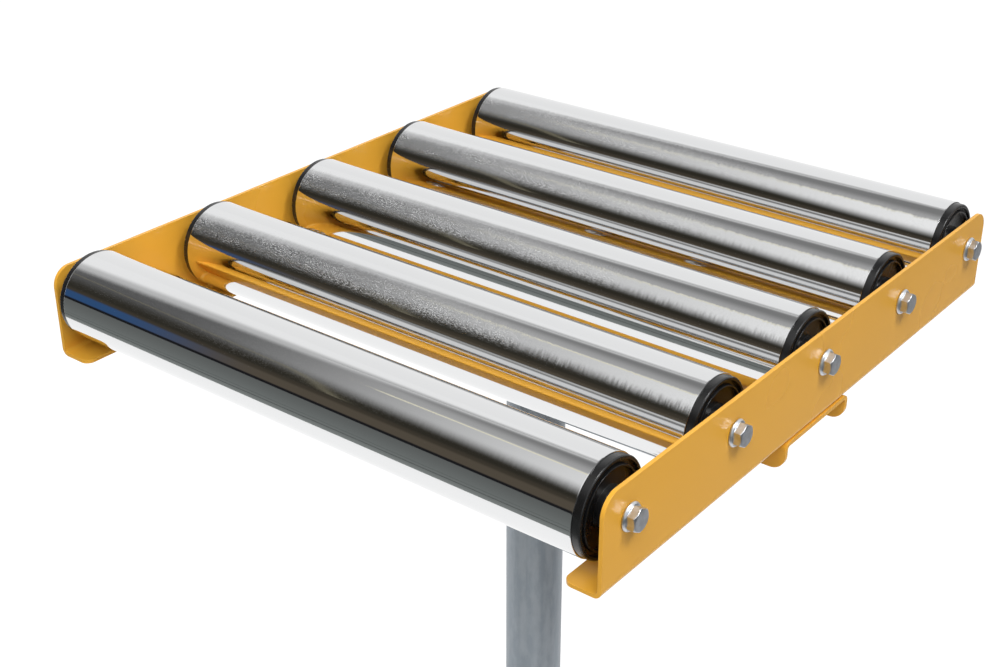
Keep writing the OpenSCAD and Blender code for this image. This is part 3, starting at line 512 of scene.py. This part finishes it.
def polished_tube(number):
    """Bright steel, worn on one side: grains and hairs tilt its surface a little, and dust sits in them."""
    steel = Finish(f"polished_tube_{number}", Metallic=1.0)
    wear = WEAR[number - 1]
    centre = (0, (number - 3) * ROLLER_PITCH, AXIS_HEIGHT)
    parts = steel.node("ShaderNodeSeparateXYZ", {}, {0: steel.place(centre)})
    along = Value(steel, parts.socket.node.outputs[0])
    across = Value(steel, parts.socket.node.outputs[1])
    up = Value(steel, parts.socket.node.outputs[2])
    # To the right there is less dust and less grain, and the worn side starts a little further forward
    to_right = steel.span(along, 0.02, 0.13)
    forward = steel.node("ShaderNodeMath", {"operation": "ARCTAN2"}, {0: -across, 1: up})
    side = (steel.span(forward - 0.20 * to_right, WORN_FROM - 0.15, WORN_FROM + 0.25)
            * (1.0 - steel.span(forward, WORN_TO - 0.08, WORN_TO + 0.14)))
    # Patches, fine grains, and hairs that lie round the tube
    cloud = steel.noise(steel.place(centre, (0.4, 1.0, 1.0)), 60.0, 3.0)
    worn = side * steel.span(cloud, 0.35, 0.65, 0.6, 1.0) * wear
    grains = steel.noise(steel.place(centre, (1.1, 1.0, 1.0)), 1700.0, 2.0, 0.6)
    hairs = steel.noise(steel.place(centre, (7.0, 1.0, 1.0)), 130.0, 2.0, 0.6)
    dust = steel.span(grains, 0.50, 0.64) * worn * (1.0 - 0.75 * to_right)
    tilt = ((0.48 - 0.33 * to_right) * (grains - 0.5) + 0.30 * (hairs - 0.5)) * worn
    # The normal leans round the tube only, by about the tilt in radians
    round_it = steel.node("ShaderNodeCombineXYZ", {}, {0: 0.0, 1: up / TUBE_R, 2: -across / TUBE_R})
    turn = steel.node("ShaderNodeVectorMath", {"operation": "SCALE"}, {0: round_it, "Scale": tilt})
    turn = steel.node(
        "ShaderNodeVectorTransform",
        {"vector_type": "VECTOR", "convert_from": "OBJECT", "convert_to": "WORLD"}, {0: turn})
    straight_out = steel.node("ShaderNodeNewGeometry", out="Normal")
    tilted = steel.node("ShaderNodeVectorMath", {"operation": "ADD"}, {0: straight_out, 1: turn})
    steel.give(
        Base_Color=(0.745, 0.75, 0.755, 1),
        Metallic=1.0 - 0.55 * dust,
        Roughness=0.06 + 0.07 * worn + 0.25 * dust,
        Normal=steel.node("ShaderNodeVectorMath", {"operation": "NORMALIZE"}, {0: tilted}))
    return steel


TUBE_STEPS = 128


def turned(profile):
    """A body turned from a profile of (distance along X, radius) points, closed on itself."""
    work = bmesh.new()
    rim = [work.verts.new((x, 0, r)) for x, r in profile]
    edges = [work.edges.new((rim[i], rim[(i + 1) % len(rim)])) for i in range(len(rim))]
    bmesh.ops.spin(
        work, geom=rim + edges, cent=(0, 0, 0), axis=(1, 0, 0), dvec=(0, 0, 0), angle=math.tau,
        steps=TUBE_STEPS, use_merge=True, use_normal_flip=False, use_duplicate=False)
    bmesh.ops.remove_doubles(work, verts=work.verts, dist=0.25 * SAME_POINT)
    bmesh.ops.recalc_face_normals(work, faces=work.faces)
    return work


TUBE_END = 0.202
TUBE_BORE = 0.0285
# The rounded edge at a tube's end, and how far in the middle of its round lies
EDGE = 0.0006
EDGE_MIDDLE = 0.0002
right_end = [
    (TUBE_END - EDGE, TUBE_R), (TUBE_END - EDGE_MIDDLE, TUBE_R - EDGE_MIDDLE),
    (TUBE_END, TUBE_R - EDGE), (TUBE_END, TUBE_BORE)]
left_end = [(-x, r) for x, r in reversed(right_end)]
for number in range(1, 6):
    tube = turned(left_end + right_end)
    bmesh.ops.translate(tube, verts=tube.verts, vec=(0, (number - 3) * ROLLER_PITCH, AXIS_HEIGHT))
    put_in(
        tube, f"roller_tube_{number}_polished", f"roller_{number}", polished_tube(number),
        [f"roller_tube_{number}"])

# Roller end caps
# Each cap is moulded in black plastic: it is pressed into the tube, holds the bearing, and closes the end
# with a dished face and a raised collar round the axle.

cap_plastic = moulded_black("cap_plastic", 0.006, 0.25, 0.000006)
for number in range(1, 6):
    dress(f"roller_caps_{number}", f"roller_{number}", cap_plastic, 0.0003)

# Studio
# A plain white floor and a white surround, with five soft lamps. A low wall, an arch with a dark wall, a
# window and a ceiling, and a dark screen on the right are seen only as mirror images in the stand.

# The floor glows for the camera and for mirror images, and is dark towards the right in mirror images
FLOOR_REACH = 30
FLOOR_TONE = (0.86, 0.86, 0.86)
DARK_FLOOR = (0.08, 0.08, 0.08)
DARK_FROM = 0.45
DARK_TO = 1.0
GLOW_SHARE = 0.86
GLOW_STRENGTH = 1.17
white_floor = Finish("white_floor", Roughness=0.7)
white_floor.give(Base_Color=(*FLOOR_TONE, 1))
seen = white_floor.node("ShaderNodeLightPath", out="Is Camera Ray")
paths = seen.socket.node.outputs
mirrored = Value(white_floor, paths["Is Glossy Ray"])
through = Value(white_floor, paths["Is Transmission Ray"])
straight = seen.maths("MAXIMUM", seen.maths("MAXIMUM", seen, mirrored), through)
beside = white_floor.node("ShaderNodeSeparateXYZ", {}, {0: white_floor.place()})
dark_side = white_floor.span(beside, DARK_FROM, DARK_TO) * mirrored
glow = white_floor.node("ShaderNodeEmission", {}, {
    "Color": white_floor.blend(dark_side, (1.0, 1.0, 1.0), DARK_FLOOR), "Strength": GLOW_STRENGTH})
mixed = white_floor.node("ShaderNodeMixShader", {}, {
    0: straight * GLOW_SHARE, 1: Value(white_floor, white_floor.shader.outputs[0]), 2: glow})
white_floor.tree.links.new(mixed.socket, white_floor.tree.nodes["Material Output"].inputs["Surface"])

ground = bmesh.new()
bmesh.ops.create_grid(ground, x_segments=1, y_segments=1, size=FLOOR_REACH)
ground_mesh = bpy.data.meshes.new("studio_floor")
ground.to_mesh(ground_mesh)
ground.free()
ground_mesh.materials.append(white_floor.material)
studio_floor = bpy.data.objects.new("studio_floor", ground_mesh)
bpy.context.scene.collection.objects.link(studio_floor)

# The surround is white, but gives rough surfaces no light
world = bpy.data.worlds.new("studio")
bpy.context.scene.world = world
world.use_nodes = True
world_tree = world.node_tree
surround = world_tree.nodes["Background"]
rays = world_tree.nodes.new("ShaderNodeLightPath")
dim = world_tree.nodes.new("ShaderNodeMapRange")
world_tree.links.new(rays.outputs["Is Diffuse Ray"], dim.inputs["Value"])
dim.inputs["To Min"].default_value = 1.0
dim.inputs["To Max"].default_value = 0.0
world_tree.links.new(dim.outputs[0], surround.inputs["Strength"])
surround.inputs["Color"].default_value = (1, 1, 1, 1)

LAMPS_LOOK_AT = Vector((0, 0, 0.87))


def soft_lamp(name, place, size, power, glossy):
    """A square soft lamp that looks at the table, and may show in glossy surfaces."""
    lamp = bpy.data.lights.new(name, "AREA")
    lamp.shape = "RECTANGLE"
    lamp.size = size
    lamp.size_y = size
    lamp.energy = power
    holder = bpy.data.objects.new(name, lamp)
    bpy.context.scene.collection.objects.link(holder)
    holder.location = place
    holder.rotation_euler = (LAMPS_LOOK_AT - Vector(place)).to_track_quat("-Z", "Y").to_euler()
    holder.visible_glossy = glossy


soft_lamp("key_lamp", (1.8, 0.0, 3.27), 0.8, 45.0, True)
soft_lamp("main_lamp", (0.9, -1.3, 2.9), 1.6, 50.0, False)
soft_lamp("front_lamp", (-0.6, -2.2, 2.3), 2.4, 24.0, False)
soft_lamp("side_lamp", (2.6, -0.8, 1.6), 1.2, 9.0, False)
soft_lamp("rear_lamp", (-2.2, 1.6, 2.0), 1.6, 35.0, False)

# The dark wall, the window and the ceiling are one wide arch from the front to over the table
ARCH_R = 3.0
ARCH_LEFT = -5.0
ARCH_RIGHT = 2.5
ARCH_STEP = 0.1


def between(value, low, high):
    """0 below low, 1 above high, and smooth from one to the other."""
    share = min(1.0, max(0.0, (value - low) / (high - low)))
    return share * share * (3 - 2 * share)


def mixed_tone(share, a, b):
    """Tone a where the share is 0 and tone b where it is 1."""
    return tuple(p + share * (q - p) for p, q in zip(a, b))


DARK_WALL = (0.031, 0.028, 0.021)
BROWN_RAIL = (0.056, 0.047, 0.035)
BROWN_FOOT = (0.100, 0.083, 0.062)
BLUE_FOOT = (0.033, 0.088, 0.215)
WALL_GAP = (0.012, 0.012, 0.014)
CEILING = (1.03, 1.03, 1.03)
CEILING_RIM = (0.6, 0.6, 0.6)


def ceiling_edge(x):
    """The height angle at which the ceiling starts, aslant along the rollers."""
    return 119 + 16 * (x + 1.1)


def arch_tone(height_angle, x):
    """The tone of the arch at a height angle, in degrees up from the front, and a place along the rollers.

    A brown and blue foot, a dark wall, a window whose light grows to the right, a dim band over it, and
    a white ceiling whose edge runs aslant.
    """
    foot = mixed_tone(between(x, -3.1, -2.45), BLUE_FOOT, BROWN_FOOT)
    foot = mixed_tone(between(height_angle, 1, 3.5), WALL_GAP, foot)
    low = mixed_tone(between(height_angle, 15, 21), foot, BROWN_RAIL)
    low = mixed_tone(between(height_angle, 22, 29), low, DARK_WALL)
    light = 0.11 + between(x, -3.05, -0.5)
    shift = 6 * between(x, -1.6, -0.9)
    dim = min(light, 0.45 - 0.21 * between(height_angle, 84, 104))
    bright = light + (dim - light) * between(height_angle, 76, 83)
    tone = mixed_tone(between(height_angle, 33 - shift, 61 - shift), low, (bright, bright, bright))
    edge = ceiling_edge(x)
    soft = 16 - 10 * between(x, -3.2, -1.5)
    tone = mixed_tone(between(height_angle, edge - soft - 1, edge), tone, CEILING_RIM)
    return mixed_tone(between(height_angle, edge + 2, edge + 2 + soft), tone, CEILING)


# The arch runs from a height angle of -8 degrees to one of 125 degrees, in half degrees
HALF_STEPS_UP = 250
HALF_STEPS_DOWN = 16
arch = bmesh.new()
steps_along = round((ARCH_RIGHT - ARCH_LEFT) / ARCH_STEP)
shade = arch.verts.layers.float_color.new("shade")


def arch_vertex(height_angle, x, tone, radius=ARCH_R):
    angle = math.radians(height_angle)
    vertex = arch.verts.new((x, -radius * math.cos(angle), AXIS_HEIGHT + radius * math.sin(angle)))
    vertex[shade] = (*tone, 1)
    return vertex


rows = []
places = [ARCH_LEFT + ARCH_STEP * k for k in range(steps_along + 1)]
for step in range(-HALF_STEPS_DOWN, HALF_STEPS_UP + 1):
    rows.append([arch_vertex(step / 2, x, arch_tone(step / 2, x)) for x in places])
for lower, upper in zip(rows, rows[1:]):
    for k in range(steps_along):
        arch.faces.new((lower[k], lower[k + 1], upper[k + 1], upper[k]))


BATTEN_R = ARCH_R - 0.03


def batten(points, tone, upward, along=0.0):
    """A thin strip in front of the arch through (height angle, x) points."""
    sides = [
        [arch_vertex(angle + s * upward / 2, x + s * along / 2, tone, BATTEN_R) for s in (-1, 1)]
        for angle, x in points]
    for (a, b), (c, d) in zip(sides, sides[1:]):
        arch.faces.new((a, b, d, c))


# A pale strip over the window, a brown one down beside it, and three grey ones along the ceiling's edge
batten([(75, -2.1), (77, -1.8), (78, -1.5), (78.6, -0.9)], (0.95, 0.90, 0.68), 2.0)
batten([(60, -3.6), (53, -2.9), (47, -2.35), (40, -2.22), (27, -2.12)], (0.22, 0.20, 0.14), 0.7, 0.05)
for above, grey in ((-1.0, 0.8), (1.4, 0.4), (5.0, 0.7)):
    batten([(ceiling_edge(x) + above, x) for x in (-2.4, -1.9, -1.5, -1.0)], (grey, grey, grey), 1.0)

# A dark screen beyond the table's right side, for the outer face of the right rail
SCREEN_X = 3.0
screen = []
for y, z in ((-1.5, 0.0), (8.0, 0.0), (8.0, 2.4), (-1.5, 2.4)):
    screen.append(arch.verts.new((SCREEN_X, y, z)))
    screen[-1][shade] = (0.10, 0.10, 0.10, 1)
arch.faces.new(screen)

# The low front wall, which stands on the floor: its places, and its bands from the foot up, each with
# its heights and its tones at the foot and at the top
WALL_PLACES = ((ARCH_LEFT, -0.80), (-0.9, -0.80), (0.1, -0.97), (ARCH_RIGHT, -1.0))
WALL_BANDS = (
    (0.02, 0.30, (0.25, 0.27, 0.26), (0.20, 0.215, 0.21)),
    (0.30, 0.33, (0.07, 0.075, 0.073), (0.07, 0.075, 0.073)),
    (0.33, 0.44, (0.19, 0.205, 0.20), (0.18, 0.195, 0.19)),
    (0.44, 0.455, (0.10, 0.11, 0.106), (0.10, 0.11, 0.106)),
    (0.455, 0.87, (0.18, 0.195, 0.19), (0.13, 0.138, 0.135)))
for bottom, top, bottom_tone, top_tone in WALL_BANDS:
    posts = []
    for x, y in WALL_PLACES:
        posts.append([arch.verts.new((x, y, bottom)), arch.verts.new((x, y, top))])
        posts[-1][0][shade] = (*bottom_tone, 1)
        posts[-1][1][shade] = (*top_tone, 1)
    for (a, b), (c, d) in zip(posts, posts[1:]):
        arch.faces.new((a, b, d, c))

arch_mesh = bpy.data.meshes.new("front_arch")
arch.to_mesh(arch_mesh)
arch.free()
arch_finish = Finish("arch_tones")
painted = arch_finish.node("ShaderNodeVertexColor", {"layer_name": "shade"})
flat = arch_finish.node("ShaderNodeEmission", {}, {"Color": painted, "Strength": 1.0})
arch_finish.tree.links.new(flat.socket, arch_finish.tree.nodes["Material Output"].inputs["Surface"])
arch_mesh.materials.append(arch_finish.material)
front_arch = bpy.data.objects.new("front_arch", arch_mesh)
bpy.context.scene.collection.objects.link(front_arch)
front_arch.visible_camera = False
front_arch.visible_diffuse = False
front_arch.visible_shadow = False
front_arch.visible_transmission = False

# The camera stands as the photograph's did, fitted together with the sizes of the table
eye = bpy.data.cameras.new("eye")
eye.sensor_width = 36.0
eye.lens = 56.484
eye.clip_start = 0.05
eye.clip_end = 100.0
camera = bpy.data.objects.new("eye", eye)
bpy.context.scene.collection.objects.link(camera)
camera.location = (0.58098, -0.77932, 1.35332)
camera.rotation_euler = (math.radians(62.5962), math.radians(0.0377), math.radians(38.2070))
bpy.context.scene.camera = camera

bpy.context.scene.view_settings.view_transform = "Standard"
